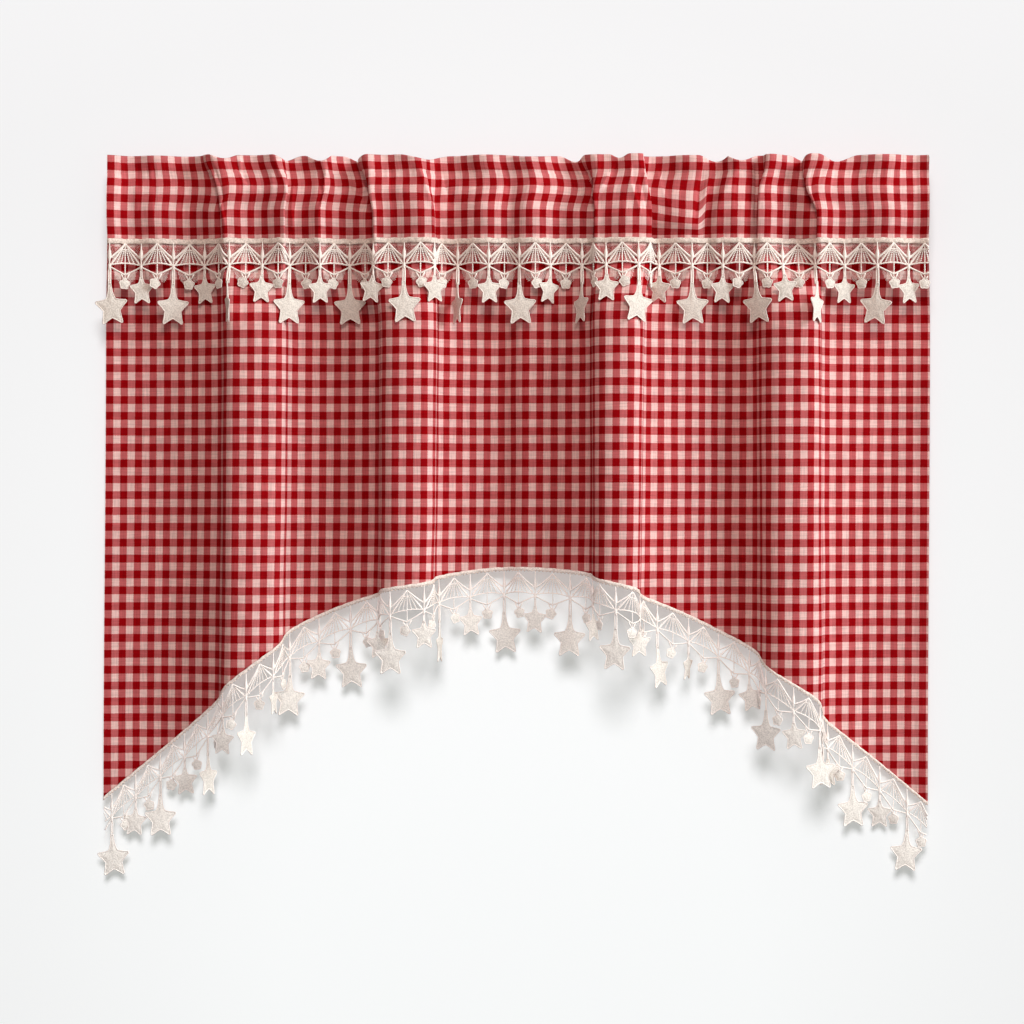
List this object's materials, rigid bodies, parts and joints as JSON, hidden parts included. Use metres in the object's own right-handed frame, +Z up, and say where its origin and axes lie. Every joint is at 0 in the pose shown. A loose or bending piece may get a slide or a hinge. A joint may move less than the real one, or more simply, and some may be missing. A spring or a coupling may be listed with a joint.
{
  "type": "cafe curtain",
  "caption": "Short red and cream gingham cafe curtain with a ruffled rod pocket, an arched hem and rows of hanging cotton star lace.",
  "frame": {"origin": "middle of the top edge, on the cloth's mean plane", "axes": "+X to the right along the rod, +Y to the back towards the window, +Z up; the front faces -Y"},
  "size_m": [1.0402, 0.0944, 0.917],
  "materials": {
    "gingham": "matte",
    "lace": "matte"
  },
  "bodies": {
    "root": {"heading": "gingham", "panel": "gingham", "lace_upper": "lace", "lace_lower": "lace"}
  },
  "joints": []
}
